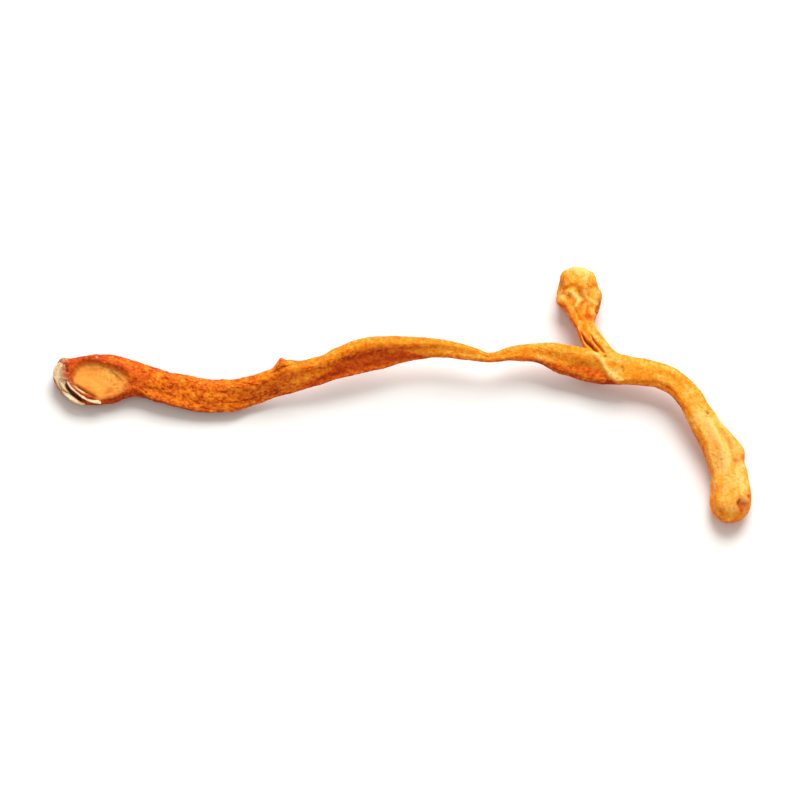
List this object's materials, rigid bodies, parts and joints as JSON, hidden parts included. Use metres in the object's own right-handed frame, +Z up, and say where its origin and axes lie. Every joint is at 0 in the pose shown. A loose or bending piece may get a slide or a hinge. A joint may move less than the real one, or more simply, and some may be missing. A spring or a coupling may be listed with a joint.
{
  "type": "dried cordyceps flower",
  "caption": "Dried forked fruiting body of a cordyceps fungus: a flattened, twisted orange stalk with a knife-cut base, and club-ended branches.",
  "frame": {"origin": "middle of the flower's box seen from above, on the surface that it lies on", "axes": "+X along the stalk from its cut base to its clubs, +Y towards the short branch, +Z up from the surface that it lies on"},
  "size_m": [0.085, 0.0334, 0.0057],
  "materials": {
    "stalk_skin": "dry, finely wrinkled red-orange fungus skin, matte with a slight sheen on the folds",
    "long_branch_skin": "dry, smooth yellow-orange fungus skin with faint lengthwise streaks, matte",
    "short_branch_skin": "dry, knobby and pitted yellow-orange fungus skin, matte"
  },
  "bodies": {
    "root": {"stalk": "stalk_skin", "long_branch": "long_branch_skin", "short_branch": "short_branch_skin"}
  },
  "joints": []
}
